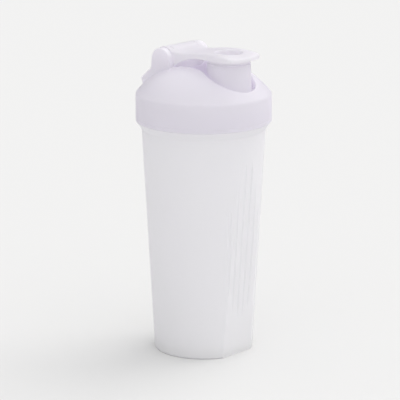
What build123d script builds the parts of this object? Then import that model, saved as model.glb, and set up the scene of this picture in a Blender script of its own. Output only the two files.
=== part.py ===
from build123d import *
from math import cos, hypot, radians, sin
import os

os.makedirs("parts", exist_ok=True)

# A shaker bottle: tapered cup, screw lid with a drinking spout, flip cap, two seals and a loose wire ball.
# Z is up and the table is z = 0. The cup's axis is the Z axis. The spout is at the front, which is -Y,
# and the hinge of the flip cap is at the back, with its axis along X.

# Cup
base_diameter = 72.0
body_height = 164.4  # table to the foot of the shoulder
shoulder_height = 5.6
shoulder_step = 3.9  # how far the shoulder widens the cup
neck_height = 17.5
cup_wall = 2.0
cup_floor = 2.4
foot_recess = 1.6  # hollow under the floor, inside the foot ring
foot_ring_width = 6.0  # from the grip flats inwards
foot_rounding = 1.2
floor_rounding = 5.0

# Grip flats, front and back, with moulded flutes
flat_inset = 3.6  # how far the flat cuts into the base circle
flat_top = 150.0  # height at which the flat runs out in the cone
flute_spacing = 8.4  # degrees between neighbouring flutes
flute_depth = 0.65
flute_radius = 2.2
flute_fade = 9.0  # length over which an end runs out
flute_spans = ((36.0, 138.0), (42.0, 130.0), (54.0, 104.0))  # full-depth heights, inner pair first

# Thread between cup and lid, right-handed
thread_pitch = 5.0
thread_turns = 1.3
thread_height = 1.5
thread_root_width = 2.0
thread_crest_width = 1.2
thread_start = 6.0  # above the flange
thread_clearance = 0.5  # between a crest and the other part's wall
thread_embed = 0.4

# Lid
lid_diameter = 98.0
lid_wall = 2.0
flange_inset = 0.3  # the cup's flange, inside the lid's outer face
neck_room = 2.0  # between the cup's neck and the lid's skirt, for the thread
lid_gap = 0.3  # between the lid's lower edge and the flange
skirt_height = 19.7
bead_height = 2.4
bead_groove = 0.3
dome_height = 22.2
dome_power = 2.6
rim_rounding = 3.0
plug_ring_wall = 1.6  # ring that dips into the cup's mouth
plug_ring_depth = 6.5
plug_ring_clearance = 0.4

# Lid seal
seal_thickness = 1.6
seal_clearance = 0.1
seal_width = 3.4

# Recess in the dome under the arm, and the spout that stands in it
recess_waist = 16.0  # half the recess's width between the hinge well and the spout
recess_gap = 2.6  # round the spout's foot
recess_blend = 14.0  # rounding between the waist and the round front
recess_floor = 5.0  # above the skirt's top
well_reach = 14.6  # the wider hinge well begins this far in front of the pivot
well_gap = 0.4  # between the hinge well and the barrel
crest_bevel = 0.6
crest_clear = 0.5  # the crest is at least this far above the recess's floor
spout_reach = 24.0  # spout's axis in front of the cup's axis
spout_shoulder = 25.0  # heights above the skirt's top
spout_top = 27.2
spout_bore_radius = 11.0
spout_lip_wall = 2.2
spout_step = 2.3  # the shoulder round the lip
spout_draft = 0.9  # how much wider the spout is at its foot
spout_wall = 2.4
spout_rounding = 0.8

# Hinge
pivot_setback = 22.6  # behind the cup's axis
pivot_height = 23.9  # above the skirt's top
ear_radius = 8.4
ear_thickness = 4.5
ear_flare = 1.8
ear_depth = 13.0  # how far the ear goes down into the dome below the pivot
ear_rounding = 0.8
hinge_gap = 0.5
trunnion_radius = 3.0
trunnion_length = 2.9
trunnion_clearance = 0.05
socket_end_gap = 0.2

# Stop ledge behind the ears
ledge_inset = 1.8  # the ledge's ends, inside the ears' outer faces
ledge_crest = 17.6
ledge_setback = 6.0  # the ledge's tip, inside the lid's outer face
ledge_tip = 8.0
ledge_undercut = 2.0
ledge_foot = 3.6
ledge_rounding = 0.6

# Flip cap
cap_margin = 1.3  # slab beyond the spout's top on each side
barrel_radius = 9.0
cap_top = 32.5  # top of the slab over the spout, above the skirt's top
cap_underside = 28.2
cap_reach = 18.5  # the lip, in front of the spout's axis
cap_lip_bow = 3.5  # how far the lip bows forward of its corners, seen from above
cap_corner_radius = 4.0
cap_edge_rounding = 2.0
cap_tip_share = 1.257
cap_tip_drop = 1.0
cap_lip_drop = 2.3
cap_seat_drop = 4.7  # the slab's flat underside, below its top
arm_root = 2.0  # where the arm's top leaves the barrel, in front of the pivot
arm_sink = 0.4  # how far it starts inside the barrel
arm_top_line = ((0.174, 2.3), (0.313, 2.95), (0.485, 1.9), (0.7, 0.6))  # share of the arm's length, drop
arm_under_line = ((0.528, 5.7), (0.324, 8.7), (0.195, 13.0))
cap_ring_inset = 0.5  # inside the spout's top edge
cap_ring_clearance = 0.4
cap_ring_drop = 0.3  # gap above the spout's shoulder
plug_clearance = 0.3
plug_bottom = 22.0
bowl_wall = 1.4
bowl_floor = 2.0
bowl_rim_flare = 1.2
bowl_rounding = 2.0
barrel_line_inset = 4.0
barrel_line_depth = 0.3

# Spout seal
spout_seal_height = 1.6
spout_seal_depth = 0.6  # how deep its groove is in the plug
spout_seal_clearance = 0.1

# Wire ball
ball_diameter = 49.0
ball_wire = 1.8
ball_tie_wire = 1.4  # the upright ring that joins the others
ball_rings = 8
ball_end_angle = 14.0  # degrees between the pole and the first ring
ball_gap = 0.3

# Derived sizes
base_radius = base_diameter / 2
lid_radius = lid_diameter / 2
flange_radius = lid_radius - flange_inset
body_radius = flange_radius - shoulder_step
neck_radius = lid_radius - lid_wall - neck_room
neck_bore_radius = neck_radius - cup_wall
flange_top = body_height + shoulder_height
rim_top = flange_top + neck_height
floor_top = foot_recess + cup_floor
cone_slope = (body_radius - base_radius) / body_height
flat_base = base_radius - flat_inset
flat_slope = (base_radius + cone_slope * flat_top - flat_base) / flat_top

skirt_bottom = flange_top + lid_gap
skirt_top = skirt_bottom + skirt_height
skirt_bore_radius = lid_radius - lid_wall
seat_level = rim_top + seal_thickness + 2 * seal_clearance
plug_ring_radius = neck_bore_radius - plug_ring_clearance
lid_bore_radius = plug_ring_radius - plug_ring_wall
plug_ring_bottom = seat_level - plug_ring_depth
recess_level = skirt_top + recess_floor
dome_rim_slope = dome_height * dome_power / lid_radius
pivot_level = skirt_top + pivot_height

spout_lip_radius = spout_bore_radius + spout_lip_wall
spout_top_radius = spout_lip_radius + spout_step
spout_base_radius = spout_top_radius + spout_draft
cap_width = 2 * (spout_top_radius + cap_margin)
cap_ring_radius = spout_top_radius - cap_ring_inset
cap_level = skirt_top + cap_top
cap_front = spout_reach + cap_reach
arm_length = spout_reach + pivot_setback
ear_inner_face = cap_width / 2 + hinge_gap
ledge_half_width = ear_inner_face + ear_thickness - ledge_inset
ledge_reach = lid_radius - ledge_setback
well_half_width = ear_inner_face + well_gap
well_front = pivot_setback - well_reach
recess_rear = pivot_setback + barrel_radius + well_gap
recess_front_radius = spout_base_radius + recess_gap
plug_radius = spout_bore_radius - plug_clearance
plug_level = skirt_top + plug_bottom
spout_seal_level = plug_level + bowl_floor
spout_axis = Axis((0, -spout_reach, 0), (0, 0, 1))
spout_plane = Plane((0, -spout_reach, 0), x_dir=(1, 0, 0), z_dir=(0, -1, 0))


def cone_radius(height):
    """Outer radius of the cup's cone at a height."""
    return base_radius + cone_slope * height


def flat_distance(height):
    """Distance of a grip flat from the cup's axis at a height."""
    return flat_base + flat_slope * height


def cut_grip_flats(inset):
    """Cut the front and back flats, moved inwards by inset, from the part being built."""
    clear = lid_diameter
    for side in (-1, 1):
        with BuildSketch(Plane.YZ) as beyond_flat:
            with BuildLine():
                Polyline(
                    (side * (flat_distance(-1) - inset), -1),
                    (side * (flat_distance(flat_top) - inset), flat_top),
                    (side * clear, flat_top),
                    (side * clear, -1),
                    close=True,
                )
            make_face()
        extrude(beyond_flat.sketch, amount=clear, both=True, mode=Mode.SUBTRACT)


def cut_flute(angle, low, high):
    """Cut one flute along the wall at an angle in degrees about Z, from height low to high.

    angle is 0 at the middle of a flat. The cutter is a slim rod whose ends taper to the wall's surface.
    """
    off_flat = cos(radians(angle))
    on_flat = flat_distance(low) < cone_radius(low) * off_flat
    if on_flat:
        ends = [flat_distance(height) / off_flat for height in (low, high)]
    else:
        ends = [cone_radius(height) for height in (low, high)]
    lift = flute_radius - flute_depth
    for facing in (-90, 90):
        turn = radians(facing + angle)
        outward = Vector(cos(turn), sin(turn), 0)
        start = outward * (ends[0] + lift) + Vector(0, 0, low)
        along = outward * (ends[1] + lift) + Vector(0, 0, high) - start
        sideways = Vector(-sin(turn), cos(turn), 0)
        with BuildSketch(Plane(start, x_dir=along, z_dir=sideways)) as rod:
            with BuildLine():
                Polyline(
                    (-flute_fade, 0),
                    (-flute_fade, lift),
                    (0, flute_radius),
                    (along.length, flute_radius),
                    (along.length + flute_fade, lift),
                    (along.length + flute_fade, 0),
                    close=True,
                )
            make_face()
        revolve(rod.sketch, axis=Axis(start, along), mode=Mode.SUBTRACT)


def thread_ridge(root_radius, crest_radius, start):
    """One helical ridge of the thread, from root_radius to crest_radius, starting at a height."""
    with BuildPart() as ridge:
        with BuildLine() as path:
            Helix(thread_pitch, thread_pitch * thread_turns, root_radius, center=(0, 0, start))
        helix = path.edges()[0]
        with BuildSketch(Plane(helix @ 0, x_dir=(1, 0, 0), z_dir=helix % 0)):
            with BuildLine():
                Polyline(
                    (0, -thread_root_width / 2),
                    (crest_radius - root_radius, -thread_crest_width / 2),
                    (crest_radius - root_radius, thread_crest_width / 2),
                    (0, thread_root_width / 2),
                    close=True,
                )
            make_face()
        sweep(path=helix, is_frenet=True)
    return ridge.part


def dome_point(radius, inset=0.0):
    """A point (radius, height) of the dome's outline, moved inwards by inset along its normal.

    The dome falls from its top by dome_height times (radius / lid_radius) to the dome_power.
    """
    share = radius / lid_radius
    height = dome_height * (1 - share**dome_power)
    slope = dome_height * dome_power / lid_radius * share ** (dome_power - 1)
    length = hypot(1, slope)
    return (radius - inset * slope / length, skirt_top + height - inset / length)


def dome_outline(inset=0.0):
    """Points of the dome's outline from its rim to its top."""
    return [dome_point(lid_radius * share, inset) for share in (1, 0.9, 0.78, 0.6, 0.4, 0.2, 0)]


def recess_sketch(grow):
    """Keyhole outline of the recess: the hinge well at the back, a waist, and a round front about the spout."""
    well_length = recess_rear - well_front + grow
    waist_length = well_front + spout_reach
    with BuildSketch() as keyhole:
        with Locations((0, well_front + well_length / 2)):
            Rectangle(2 * (well_half_width + grow), well_length)
        with Locations((0, well_front - waist_length / 2)):
            Rectangle(2 * (recess_waist + grow), waist_length)
        with Locations((0, -spout_reach)):
            Circle(recess_front_radius + grow)
        corners = keyhole.vertices().filter_by_position(Axis.Y, -spout_reach, well_front / 2)
        fillet(corners, radius=recess_blend)
    return keyhole.sketch


def arm_point(share, drop):
    """A point (forward, height) on the arm's side view.

    share runs from 0 at the pivot to 1 over the spout's axis, and drop is measured down from the slab's top.
    """
    return (pivot_setback - share * arm_length, cap_level - drop)


# Cup -----------------------------------------------------------------------------------------------

# The space inside: a cone with the two flats, one wall in from the outside, and the neck's bore.
with BuildPart() as cup_space:
    with BuildSketch(Plane.XZ):
        with BuildLine():
            Polyline(
                (0, floor_top),
                (cone_radius(floor_top) - cup_wall, floor_top),
                (body_radius - cup_wall, body_height),
                (neck_bore_radius, flange_top),
                (neck_bore_radius, rim_top + 1),
                (0, rim_top + 1),
                close=True,
            )
        make_face()
        fillet(vertices().group_by(Axis.Y)[0].sort_by(Axis.X)[-1], radius=floor_rounding)
    revolve(axis=Axis.Z)
    cut_grip_flats(cup_wall)

with BuildPart() as cup:
    with BuildSketch(Plane.XZ):
        with BuildLine():
            Polyline(
                (0, 0),
                (base_radius, 0),
                (body_radius, body_height),
                (flange_radius, flange_top),
                (neck_radius, flange_top),
                (neck_radius, rim_top),
                (0, rim_top),
                close=True,
            )
        make_face()
        fillet(vertices().group_by(Axis.Y)[0].sort_by(Axis.X)[-1], radius=foot_rounding)
    revolve(axis=Axis.Z)
    cut_grip_flats(0)
    with BuildSketch(Plane.XY):
        Circle(flat_base - foot_ring_width)
    extrude(amount=foot_recess, mode=Mode.SUBTRACT)
    for pair, (low, high) in enumerate(flute_spans):
        for side in (-1, 1):
            cut_flute(side * (pair + 0.5) * flute_spacing, low, high)
    add(
        thread_ridge(
            neck_radius - thread_embed,
            neck_radius + thread_height,
            flange_top + thread_start,
        )
    )
    add(cup_space.part, mode=Mode.SUBTRACT)
    fillet(cup.edges().group_by(Axis.Z)[-1], radius=cup_wall / 4)
cup.part.label = "cup"
export_step(cup.part, "parts/cup.step")

# Lid seal ------------------------------------------------------------------------------------------

# Flat silicone ring on the cup's rim, in the lid's seat around the plug ring.
with BuildPart() as lid_seal:
    with BuildSketch(Plane.XY.offset(rim_top + seal_clearance)):
        Circle(plug_ring_radius + seal_clearance + seal_width)
        Circle(plug_ring_radius + seal_clearance, mode=Mode.SUBTRACT)
    extrude(amount=seal_thickness)
    fillet(lid_seal.edges(), radius=seal_thickness / 5)
lid_seal.part.label = "lid_seal"
export_step(lid_seal.part, "parts/lid_seal.step")

# Lid -----------------------------------------------------------------------------------------------

# The space under the dome, without the recess and its walls.
with BuildPart() as dome_space:
    with BuildSketch(Plane.XZ):
        with BuildLine():
            outline = Spline(dome_outline(lid_wall), tangents=[(-1, dome_rim_slope), (-1, 0)])
            Polyline(outline @ 1, (0, plug_ring_bottom), ((outline @ 0).X, plug_ring_bottom), outline @ 0)
        make_face()
    revolve(axis=Axis.Z)
    with BuildSketch(Plane.XY.offset(plug_ring_bottom)):
        Circle(lid_bore_radius)
    extrude(amount=2 * dome_height, mode=Mode.INTERSECT)
    with BuildSketch(Plane.XY.offset(recess_level - lid_wall)):
        add(recess_sketch(lid_wall))
    extrude(amount=2 * dome_height, mode=Mode.SUBTRACT)

# Hinge ears, each a round head on a foot that flares into the dome, with its outer edges rounded.
with BuildPart() as ears:
    for side in (-1, 1):
        with BuildSketch(Plane.YZ.offset(side * ear_inner_face)):
            with Locations((pivot_setback, pivot_level)):
                Circle(ear_radius)
            with BuildLine():
                Polyline(
                    (pivot_setback - ear_radius, pivot_level),
                    (pivot_setback + ear_radius, pivot_level),
                    (pivot_setback + ear_radius + ear_flare, pivot_level - ear_depth),
                    (pivot_setback - ear_radius - ear_flare, pivot_level - ear_depth),
                    close=True,
                )
            make_face()
        extrude(amount=side * ear_thickness)
    for face in (ears.faces().sort_by(Axis.X)[0], ears.faces().sort_by(Axis.X)[-1]):
        fillet(face.edges().sort_by(Axis.Z)[1:], radius=ear_rounding)

with BuildPart() as lid:
    # Skirt and dome, still solid.
    with BuildSketch(Plane.XZ):
        with BuildLine():
            outline = Spline(dome_outline(), tangents=[(-1, dome_rim_slope), (-1, 0)])
            Polyline(outline @ 1, (0, skirt_bottom), (lid_radius, skirt_bottom), outline @ 0)
        make_face()
    revolve(axis=Axis.Z)
    rim = lid.edges().filter_by(GeomType.CIRCLE).sort_by(Axis.Z)[-1]
    fillet(rim, radius=rim_rounding)
    with BuildSketch(Plane.XZ):
        with Locations((lid_radius, skirt_bottom + bead_height)):
            Circle(bead_groove)
    revolve(axis=Axis.Z, mode=Mode.SUBTRACT)
    # Stop ledge.
    with BuildSketch(Plane.YZ):
        with BuildLine():
            Polyline(
                (recess_rear, skirt_top + ledge_crest),
                (ledge_reach, skirt_top + ledge_tip),
                (ledge_reach - ledge_undercut, skirt_top + ledge_foot),
                (recess_rear - lid_wall, skirt_top + ledge_foot),
                (recess_rear - lid_wall, skirt_top + ledge_crest),
                close=True,
            )
        make_face()
        fillet(vertices().sort_by(Axis.X)[-1], radius=ledge_rounding)
    extrude(amount=ledge_half_width, both=True)
    # Recess.
    with BuildSketch(Plane.XY.offset(recess_level)):
        add(recess_sketch(0))
    extrude(amount=2 * dome_height, mode=Mode.SUBTRACT)
    crest = [
        edge
        for edge in lid.edges(Select.LAST).filter_by(GeomType.LINE, reverse=True)
        if edge.center().Y < well_front - crest_bevel
        and edge.center().Z > recess_level + crest_clear
        and abs(edge.center().X) < recess_front_radius
    ]
    chamfer(crest, length=crest_bevel)
    add(ears.part)
    # Spout.
    with BuildSketch(spout_plane):
        with BuildLine():
            Polyline(
                (0, recess_level - lid_wall),
                (spout_base_radius, recess_level - lid_wall),
                (spout_top_radius, skirt_top + spout_shoulder),
                (spout_lip_radius, skirt_top + spout_shoulder),
                (spout_lip_radius, skirt_top + spout_top),
                (0, skirt_top + spout_top),
                close=True,
            )
        make_face()
        fillet(vertices().group_by(Axis.X)[-2], radius=spout_rounding)
    revolve(axis=spout_axis)
    # Space for the neck and seal, the space under the dome, and the spout's bore.
    with BuildSketch(Plane.XY.offset(skirt_bottom)):
        Circle(skirt_bore_radius)
    extrude(amount=seat_level - skirt_bottom, mode=Mode.SUBTRACT)
    with BuildSketch(Plane.XY.offset(plug_ring_bottom)):
        Circle(plug_ring_radius)
        Circle(lid_bore_radius, mode=Mode.SUBTRACT)
    extrude(amount=seat_level - plug_ring_bottom + lid_wall)
    add(dome_space.part, mode=Mode.SUBTRACT)
    with BuildSketch(spout_plane):
        with BuildLine():
            lower_bore = spout_top_radius - spout_wall
            Polyline(
                (0, recess_level - 2 * lid_wall),
                (lower_bore, recess_level - 2 * lid_wall),
                (lower_bore, plug_level - lid_wall),
                (spout_bore_radius, plug_level),
                (spout_bore_radius, skirt_top + spout_top - spout_rounding),
                (spout_bore_radius + spout_rounding, skirt_top + spout_top),
                (0, skirt_top + spout_top),
                close=True,
            )
        make_face()
    revolve(axis=spout_axis, mode=Mode.SUBTRACT)
    # Blind sockets for the trunnions.
    for side in (-1, 1):
        with BuildSketch(Plane.YZ.offset(side * (ear_inner_face - 1))):
            with Locations((pivot_setback, pivot_level)):
                Circle(trunnion_radius + trunnion_clearance)
        socket = 1 - hinge_gap + trunnion_length + socket_end_gap
        extrude(amount=side * socket, mode=Mode.SUBTRACT)
    add(
        thread_ridge(
            skirt_bore_radius + thread_embed,
            neck_radius + thread_clearance,
            flange_top + thread_start - thread_pitch / 2,
        )
    )
lid.part.label = "lid"
export_step(lid.part, "parts/lid.step")

# Flip cap ------------------------------------------------------------------------------------------

with BuildPart() as flip_cap:
    # Arm and slab from the side: the top runs off the barrel and up to the slab.
    with BuildSketch(Plane.YZ.offset(-cap_width / 2)):
        with BuildLine():
            seat = cap_level - cap_seat_drop
            top = Spline(
                (pivot_setback - arm_root, pivot_level + barrel_radius - arm_sink),
                *[arm_point(share, drop) for share, drop in arm_top_line],
                (-spout_reach, cap_level),
                arm_point(cap_tip_share, cap_tip_drop),
                (-cap_front, cap_level - cap_lip_drop),
            )
            under = Spline(
                (cap_ring_radius - spout_reach, seat),
                *[arm_point(share, drop) for share, drop in arm_under_line],
                (pivot_setback, pivot_level - barrel_radius),
                tangents=[(1, 0), (1, 0)],
            )
            Polyline(top @ 1, (-cap_front, seat), under @ 0)
            Line(under @ 1, top @ 0)
        make_face()
    extrude(amount=cap_width)
    # The lip's outline from above.
    with BuildSketch(Plane.XY.offset(skirt_top)):
        with BuildLine():
            lip = ThreePointArc(
                (-cap_width / 2, cap_lip_bow - cap_front),
                (0, -cap_front),
                (cap_width / 2, cap_lip_bow - cap_front),
            )
            Polyline(lip @ 1, (cap_width / 2, cap_front), (-cap_width / 2, cap_front), lip @ 0)
        make_face()
        fillet(vertices().group_by(Axis.Y)[0], radius=cap_corner_radius)
    extrude(amount=2 * cap_top, mode=Mode.INTERSECT)
    upper_face = flip_cap.faces().sort_by(Axis.Z)[-1]
    fillet(upper_face.edges().sort_by(Axis.Y)[:-1], radius=cap_edge_rounding)
    # Barrel and trunnions.
    with BuildSketch(Plane.YZ.offset(-cap_width / 2)):
        with Locations((pivot_setback, pivot_level)):
            Circle(barrel_radius)
    extrude(amount=cap_width)
    with BuildSketch(Plane.YZ.offset(-cap_width / 2 - trunnion_length)):
        with Locations((pivot_setback, pivot_level)):
            Circle(trunnion_radius)
    extrude(amount=cap_width + 2 * trunnion_length)
    # Ring round the spout's lip, plug and bowl.
    with BuildSketch(Plane.XY.offset(skirt_top + spout_shoulder + cap_ring_drop)):
        with Locations((0, -spout_reach)):
            Circle(cap_ring_radius)
            Circle(spout_lip_radius + cap_ring_clearance, mode=Mode.SUBTRACT)
    extrude(amount=cap_underside - spout_shoulder)
    with BuildSketch(Plane.XY.offset(plug_level)):
        with Locations((0, -spout_reach)):
            Circle(plug_radius)
    extrude(amount=cap_underside - plug_bottom)
    with BuildSketch(spout_plane):
        with BuildLine():
            bowl_radius = plug_radius - bowl_wall
            Polyline(
                (0, plug_level + bowl_floor),
                (bowl_radius, plug_level + bowl_floor),
                (bowl_radius, cap_level - bowl_rim_flare),
                (bowl_radius + bowl_rim_flare, cap_level),
                (bowl_radius + bowl_rim_flare, cap_level + bowl_rim_flare),
                (0, cap_level + bowl_rim_flare),
                close=True,
            )
        make_face()
        fillet(vertices().group_by(Axis.Y)[0].sort_by(Axis.X)[-1], radius=bowl_rounding)
        fillet(vertices().group_by(Axis.Y)[-3], radius=bowl_rim_flare)
    revolve(axis=spout_axis, mode=Mode.SUBTRACT)
    # Seal groove in the plug, and the two fine lines round the barrel.
    with BuildSketch(Plane.XY.offset(spout_seal_level)):
        with Locations((0, -spout_reach)):
            Circle(plug_radius)
            Circle(plug_radius - spout_seal_depth, mode=Mode.SUBTRACT)
    extrude(amount=spout_seal_height, mode=Mode.SUBTRACT)
    for side in (-1, 1):
        with BuildSketch(Plane.YZ.offset(side * (cap_width / 2 - barrel_line_inset))):
            with Locations((pivot_setback, pivot_level)):
                Circle(barrel_radius)
                Circle(barrel_radius - barrel_line_depth, mode=Mode.SUBTRACT)
        extrude(amount=barrel_line_depth, both=True, mode=Mode.SUBTRACT)
flip_cap.part.label = "flip_cap"
export_step(flip_cap.part, "parts/flip_cap.step")

# Spout seal ----------------------------------------------------------------------------------------

# Small silicone ring in the plug's groove.
with BuildPart() as spout_seal:
    with BuildSketch(Plane.XY.offset(spout_seal_level)):
        with Locations((0, -spout_reach)):
            Circle(spout_bore_radius - spout_seal_clearance)
            Circle(plug_radius - spout_seal_depth, mode=Mode.SUBTRACT)
    extrude(amount=spout_seal_height)
spout_seal.part.label = "spout_seal"
export_step(spout_seal.part, "parts/spout_seal.step")

# Whisk ball ----------------------------------------------------------------------------------------

# Loose wire ball on the cup's floor: level rings of wire on a sphere, joined by one upright ring.
wire_track = (ball_diameter - ball_wire) / 2
ball_centre = floor_top + ball_gap + ball_diameter / 2
with BuildPart() as whisk_ball:
    ring_step = (180 - 2 * ball_end_angle) / (ball_rings - 1)
    for ring in range(ball_rings):
        angle = radians(ball_end_angle + ring * ring_step)
        with BuildSketch(Plane.XZ):
            with Locations((wire_track * sin(angle), ball_centre + wire_track * cos(angle))):
                Circle(ball_wire / 2)
        revolve(axis=Axis.Z)
    with BuildSketch(Plane.XY.offset(ball_centre)):
        with Locations((0, wire_track)):
            Circle(ball_tie_wire / 2)
    revolve(axis=Axis((0, 0, ball_centre), (1, 0, 0)))
whisk_ball.part.label = "whisk_ball"
export_step(whisk_ball.part, "parts/whisk_ball.step")
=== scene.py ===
import math

import bpy
import numpy as np
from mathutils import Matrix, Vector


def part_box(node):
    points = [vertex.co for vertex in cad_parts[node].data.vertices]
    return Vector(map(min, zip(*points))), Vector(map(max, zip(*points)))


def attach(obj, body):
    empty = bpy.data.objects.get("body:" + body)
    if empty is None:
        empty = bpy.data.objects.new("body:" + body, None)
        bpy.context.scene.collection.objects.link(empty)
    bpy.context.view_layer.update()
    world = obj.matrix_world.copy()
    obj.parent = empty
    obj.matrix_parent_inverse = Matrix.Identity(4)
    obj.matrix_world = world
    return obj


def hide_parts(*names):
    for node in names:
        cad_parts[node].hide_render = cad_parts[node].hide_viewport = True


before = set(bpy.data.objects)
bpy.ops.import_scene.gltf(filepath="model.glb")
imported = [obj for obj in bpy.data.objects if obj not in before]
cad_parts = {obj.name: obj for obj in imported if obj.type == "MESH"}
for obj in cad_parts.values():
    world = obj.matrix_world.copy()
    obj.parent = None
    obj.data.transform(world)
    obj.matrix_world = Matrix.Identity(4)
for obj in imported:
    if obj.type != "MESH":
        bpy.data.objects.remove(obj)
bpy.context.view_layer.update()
scene = bpy.context.scene

# Studio ---------------------------------------------------------------------------------------------
# A wide sheet of matt paper under the bottle, in an evenly lit white room. The paper runs far past the
# picture on every side, so no edge or horizon shows.
paper_half_width = 9.0
paper_white = (0.74, 0.74, 0.74, 1)
paper_mesh = bpy.data.meshes.new("studio_paper")
paper_mesh.from_pydata(
    [
        (-paper_half_width, -paper_half_width, 0),
        (paper_half_width, -paper_half_width, 0),
        (paper_half_width, paper_half_width, 0),
        (-paper_half_width, paper_half_width, 0),
    ],
    [],
    [(0, 1, 2, 3)],
)
paper = bpy.data.objects.new("studio_paper", paper_mesh)
scene.collection.objects.link(paper)
paper_material = bpy.data.materials.new("studio_paper")
paper_material.use_nodes = True
paper_shader = paper_material.node_tree.nodes["Principled BSDF"]
paper_shader.inputs["Base Color"].default_value = paper_white
paper_shader.inputs["Roughness"].default_value = 1.0
paper_shader.inputs["Specular IOR Level"].default_value = 0.0
paper_mesh.materials.append(paper_material)

# Daylight from a broad soft window at the bottle's right, a little behind it. The room adds a low even
# light and more from three directions, and its wall shows as plain pale grey.
room_wall = 0.888
room_low = 0.23
room_parts = (
    ((0, 0, 1), 0.956),  # overhead
    ((-0.743, -0.669, 0), 0.267),  # the viewer's side
    ((0.669, -0.743, 0), 0.252),  # the viewer's right
)
window_strength = 0.878
window_warmth = (1.0, 0.985, 0.955)
window_spread = 52.0  # degrees across
window_height = 46.0  # degrees above the floor
window_from = -8.0  # degrees about Z, from +X
room = bpy.data.worlds.new("white_room")
room.use_nodes = True
room_nodes = room.node_tree.nodes
room_links = room.node_tree.links
room_glow = room_nodes["Background"]
room_seen = room_nodes.new("ShaderNodeBackground")
room_seen.inputs["Color"].default_value = (1, 1, 1, 1)
room_seen.inputs["Strength"].default_value = room_wall
room_direction = room_nodes.new("ShaderNodeTexCoord")
room_level = room_nodes.new("ShaderNodeValue")
room_level.outputs["Value"].default_value = room_low
for part_towards, part_strength in room_parts:
    facing = room_nodes.new("ShaderNodeVectorMath")
    facing.operation = "DOT_PRODUCT"
    facing.inputs[1].default_value = part_towards
    room_links.new(room_direction.outputs["Generated"], facing.inputs[0])
    part_level = room_nodes.new("ShaderNodeMapRange")
    part_level.interpolation_type = "SMOOTHSTEP"
    part_level.inputs["To Max"].default_value = part_strength
    room_links.new(facing.outputs["Value"], part_level.inputs["Value"])
    sum_so_far = room_nodes.new("ShaderNodeMath")
    sum_so_far.operation = "ADD"
    room_links.new(part_level.outputs["Result"], sum_so_far.inputs[0])
    room_links.new(room_level.outputs["Value"], sum_so_far.inputs[1])
    room_level = sum_so_far
room_links.new(room_level.outputs["Value"], room_glow.inputs["Strength"])
room_glow.inputs["Color"].default_value = (1, 1, 1, 1)
room_path = room_nodes.new("ShaderNodeLightPath")
room_choice = room_nodes.new("ShaderNodeMixShader")
room_links.new(room_path.outputs["Is Camera Ray"], room_choice.inputs["Fac"])
room_links.new(room_glow.outputs["Background"], room_choice.inputs[1])
room_links.new(room_seen.outputs["Background"], room_choice.inputs[2])
room_links.new(room_choice.outputs["Shader"], room_nodes["World Output"].inputs["Surface"])
scene.world = room
window = bpy.data.lights.new("soft_window", "SUN")
window.energy = window_strength
window.angle = math.radians(window_spread)
window.color = window_warmth
window_object = bpy.data.objects.new("soft_window", window)
scene.collection.objects.link(window_object)
window_object.rotation_euler = (0, math.radians(90 - window_height), math.radians(window_from))
scene.view_settings.view_transform = "Standard"

# Camera: a long lens about a metre and a half away, at the front left, looking a little down.
camera_azimuth = math.radians(-48)
camera_distance = 1.5474
camera_height = 0.5078
camera_pitch = math.radians(14.414)
camera_yaw = math.radians(0.099)
camera = bpy.data.cameras.new("camera")
camera.lens = 197.6
camera.sensor_width = 36
camera.clip_end = 40
camera_object = bpy.data.objects.new("camera", camera)
scene.collection.objects.link(camera_object)
camera_object.location = (
    camera_distance * math.sin(camera_azimuth),
    -camera_distance * math.cos(camera_azimuth),
    camera_height,
)
camera_object.rotation_euler = (math.pi / 2 - camera_pitch, 0, camera_azimuth + camera_yaw)
scene.camera = camera_object

# Cup ------------------------------------------------------------------------------------------------
# The cup is one injection moulding in translucent satin polypropylene, very pale lilac. The tool's
# surface leaves a fine even grain on it, and the melt leaves faint uneven depths of colour. Light goes
# through its thin walls many times over, so the paths of light are allowed that many turns.
scene.cycles.max_bounces = 40
scene.cycles.diffuse_bounces = 20
scene.cycles.transmission_bounces = 20


plastic_gloss = 0.42
cloud_scale = 22.0
polish_range = (0.34, 0.44)  # roughness, from the clouds' lows to their highs
grain_scale = 1400.0
grain_strength = 0.5


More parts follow.
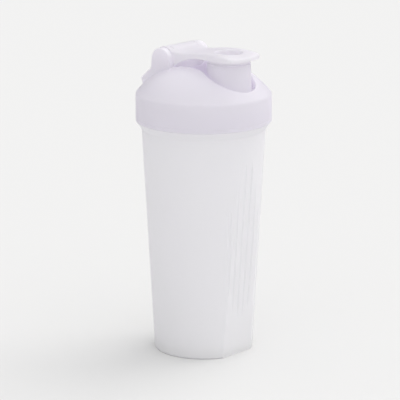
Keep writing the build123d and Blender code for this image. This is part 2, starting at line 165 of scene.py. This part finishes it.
def satin_polypropylene(name, pale, deep, through, share, grain_depth, seed):
    """Moulded polypropylene: two close tones in slow clouds, a fine grain, and light going through the wall.

    pale and deep are the two surface tones, through is the tint of the light that the wall lets through,
    share is how much it lets through, grain_depth is in metres, and seed moves the clouds so that
    neighbouring mouldings differ.
    """
    material = bpy.data.materials.new(name)
    material.use_nodes = True
    nodes = material.node_tree.nodes
    links = material.node_tree.links
    shader = nodes["Principled BSDF"]
    shader.inputs["IOR"].default_value = 1.49
    shader.inputs["Specular IOR Level"].default_value = plastic_gloss
    place = nodes.new("ShaderNodeTexCoord")
    shift = nodes.new("ShaderNodeMapping")
    shift.inputs["Location"].default_value = (seed, seed / 2, seed / 3)
    links.new(place.outputs["Object"], shift.inputs["Vector"])

    clouds = nodes.new("ShaderNodeTexNoise")
    clouds.inputs["Scale"].default_value = cloud_scale
    clouds.inputs["Detail"].default_value = 3.0
    links.new(shift.outputs["Vector"], clouds.inputs["Vector"])
    tones = nodes.new("ShaderNodeMix")
    tones.data_type = "RGBA"
    tones.inputs["A"].default_value = (*pale, 1)
    tones.inputs["B"].default_value = (*deep, 1)
    links.new(clouds.outputs["Fac"], tones.inputs["Factor"])
    links.new(tones.outputs["Result"], shader.inputs["Base Color"])

    polish = nodes.new("ShaderNodeMapRange")
    polish.inputs["From Min"].default_value = 0.3
    polish.inputs["From Max"].default_value = 0.7
    polish.inputs["To Min"].default_value = polish_range[0]
    polish.inputs["To Max"].default_value = polish_range[1]
    links.new(clouds.outputs["Fac"], polish.inputs["Value"])
    links.new(polish.outputs["Result"], shader.inputs["Roughness"])

    grain = nodes.new("ShaderNodeTexNoise")
    grain.inputs["Scale"].default_value = grain_scale
    grain.inputs["Detail"].default_value = 4.0
    grain.inputs["Roughness"].default_value = 0.6
    links.new(shift.outputs["Vector"], grain.inputs["Vector"])
    relief = nodes.new("ShaderNodeBump")
    relief.inputs["Strength"].default_value = grain_strength
    relief.inputs["Distance"].default_value = grain_depth
    links.new(grain.outputs["Fac"], relief.inputs["Height"])
    links.new(relief.outputs["Normal"], shader.inputs["Normal"])

    let_through = nodes.new("ShaderNodeBsdfTranslucent")
    let_through.inputs["Color"].default_value = (*through, 1)
    links.new(relief.outputs["Normal"], let_through.inputs["Normal"])
    wall = nodes.new("ShaderNodeMixShader")
    wall.inputs["Fac"].default_value = share
    links.new(shader.outputs["BSDF"], wall.inputs[1])
    links.new(let_through.outputs["BSDF"], wall.inputs[2])
    links.new(wall.outputs["Shader"], nodes["Material Output"].inputs["Surface"])
    return material


def finish_node(name, material):
    """Give every material slot of a CAD node the same material."""
    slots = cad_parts[name].material_slots
    for slot in slots:
        slot.material = material
    if not slots:
        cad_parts[name].data.materials.append(material)


lilac = (0.972, 0.973, 0.98)
deep_lilac = (0.964, 0.961, 0.976)
lilac_light = (0.974, 0.948, 0.998)
cup_share = 0.2
cup_grain = 0.00004
finish_node(
    "cup", satin_polypropylene("cup_polypropylene", lilac, deep_lilac, lilac_light, cup_share, cup_grain, 0.3)
)

# Lid ------------------------------------------------------------------------------------------------
# The screw lid, with its spout, hinge ears and stop ledge, is a second moulding in the same
# polypropylene, from a slightly smoother tool.
lid_share = 0.5
lid_grain = 0.00003
finish_node(
    "lid", satin_polypropylene("lid_polypropylene", lilac, deep_lilac, lilac_light, lid_share, lid_grain, 1.7)
)

# Flip cap -------------------------------------------------------------------------------------------
# The arm, barrel, slab and plug are one moulding that snaps between the lid's ears. Its two tones are
# set darker and greyer than the lid's: painted shade that dims its brightly lit tops.
# Painted shade: these tones are darker and greyer than the lid's, to dim the cap's lit tops.
cap_painted_shade_pale = (0.9, 0.905, 0.9)
cap_painted_shade_deep = (0.885, 0.885, 0.89)
finish_node(
    "flip_cap",
    satin_polypropylene(
        "cap_polypropylene_painted_shade", cap_painted_shade_pale, cap_painted_shade_deep, lilac_light, lid_share, lid_grain, 2.9
    ),
)

# Seals ----------------------------------------------------------------------------------------------
# Two soft silicone rings: a flat one between cup and lid, and a small one round the plug.


def soft_silicone(name):
    """Milky silicone: soft sheen, light soaking in deeply, and a faint ripple."""
    material = bpy.data.materials.new(name)
    material.use_nodes = True
    nodes = material.node_tree.nodes
    links = material.node_tree.links
    shader = nodes["Principled BSDF"]
    shader.inputs["Base Color"].default_value = (0.78, 0.78, 0.8, 1)
    shader.inputs["Roughness"].default_value = 0.5
    shader.inputs["IOR"].default_value = 1.41
    shader.inputs["Subsurface Weight"].default_value = 1.0
    shader.inputs["Subsurface Radius"].default_value = (1.0, 0.95, 0.9)
    shader.inputs["Subsurface Scale"].default_value = 0.002
    place = nodes.new("ShaderNodeTexCoord")
    ripple = nodes.new("ShaderNodeTexNoise")
    ripple.inputs["Scale"].default_value = 600.0
    ripple.inputs["Detail"].default_value = 2.0
    links.new(place.outputs["Object"], ripple.inputs["Vector"])
    relief = nodes.new("ShaderNodeBump")
    relief.inputs["Strength"].default_value = 0.3
    relief.inputs["Distance"].default_value = 0.00005
    links.new(ripple.outputs["Fac"], relief.inputs["Height"])
    links.new(relief.outputs["Normal"], shader.inputs["Normal"])
    return material


silicone = soft_silicone("silicone")
finish_node("lid_seal", silicone)
finish_node("spout_seal", silicone)

# Wire ball ------------------------------------------------------------------------------------------
# The loose mixing ball is one length of round stainless wire, wound as a spiral over a sphere from
# near one pole to near the other, with both ends closed flat.
ball_low, ball_high = (np.array(corner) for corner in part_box("whisk_ball"))
ball_centre = (ball_low + ball_high) / 2
ball_radius = float(min(ball_high - ball_low)) / 2
wire_radius = 0.0009
ball_turns = 8.5
points_along = 1800
points_round = 12
pole_clear = 8.0  # degrees that the spiral stays clear of each pole


def spiral_on_sphere(centre, radius, turns, count):
    """Points of a spiral wound over a sphere from its top to its bottom.

    The angle from the pole grows evenly from pole_clear to 180 degrees less pole_clear, while the angle
    about the vertical axis makes the given number of turns.
    """
    along = np.linspace(0, 1, count)
    from_pole = np.radians(pole_clear + (180 - 2 * pole_clear) * along)
    about = 2 * np.pi * turns * along
    return centre + radius * np.stack(
        [np.sin(from_pole) * np.cos(about), np.sin(from_pole) * np.sin(about), np.cos(from_pole)], axis=1
    )


def round_tube(name, path, radius, sides):
    """A round bar along a path: at each point a circle of the given radius, square to the path.

    The circle's first direction points away from the middle of all the points, which never lies along
    the path here, and each end is closed with a flat fan.
    """
    along = np.gradient(path, axis=0)
    along /= np.linalg.norm(along, axis=1, keepdims=True)
    outward = path - path.mean(axis=0)
    outward -= (outward * along).sum(axis=1, keepdims=True) * along
    outward /= np.linalg.norm(outward, axis=1, keepdims=True)
    sideways = np.cross(along, outward)
    angle = 2 * np.pi * np.arange(sides) / sides
    across = np.cos(angle)[None, :, None] * outward[:, None, :]
    aside = np.sin(angle)[None, :, None] * sideways[:, None, :]
    rings = path[:, None, :] + radius * (across + aside)
    count = len(path)
    vertices = rings.reshape(-1, 3)
    row, column = np.meshgrid(np.arange(count - 1), np.arange(sides), indexing="ij")
    following = (column + 1) % sides
    this_ring = row * sides
    next_ring = (row + 1) * sides
    quads = np.stack(
        [this_ring + column, this_ring + following, next_ring + following, next_ring + column], axis=-1
    ).reshape(-1, 4)
    ends = [list(range(sides))[::-1], list(range((count - 1) * sides, count * sides))]
    mesh = bpy.data.meshes.new(name)
    mesh.from_pydata(vertices.tolist(), [], quads.tolist() + ends)
    mesh.shade_smooth()
    bar = bpy.data.objects.new(name, mesh)
    scene.collection.objects.link(bar)
    return bar


wire_ball = round_tube(
    "wire_ball",
    spiral_on_sphere(ball_centre, ball_radius - wire_radius, ball_turns, points_along),
    wire_radius,
    points_round,
)
steel_grey = (0.62, 0.63, 0.64, 1)
steel_polish_range = (0.16, 0.34)
steel = bpy.data.materials.new("stainless_wire")
steel.use_nodes = True
steel_nodes = steel.node_tree.nodes
steel_shader = steel_nodes["Principled BSDF"]
steel_shader.inputs["Metallic"].default_value = 1.0
steel_shader.inputs["Base Color"].default_value = steel_grey
steel_place = steel_nodes.new("ShaderNodeTexCoord")
drawing_marks = steel_nodes.new("ShaderNodeTexNoise")
drawing_marks.inputs["Scale"].default_value = 900.0
drawing_marks.inputs["Detail"].default_value = 5.0
steel.node_tree.links.new(steel_place.outputs["Object"], drawing_marks.inputs["Vector"])
steel_polish = steel_nodes.new("ShaderNodeMapRange")
steel_polish.inputs["To Min"].default_value = steel_polish_range[0]
steel_polish.inputs["To Max"].default_value = steel_polish_range[1]
steel.node_tree.links.new(drawing_marks.outputs["Fac"], steel_polish.inputs["Value"])
steel.node_tree.links.new(steel_polish.outputs["Result"], steel_shader.inputs["Roughness"])
wire_ball.data.materials.append(steel)
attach(wire_ball, "whisk_ball")
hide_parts("whisk_ball")
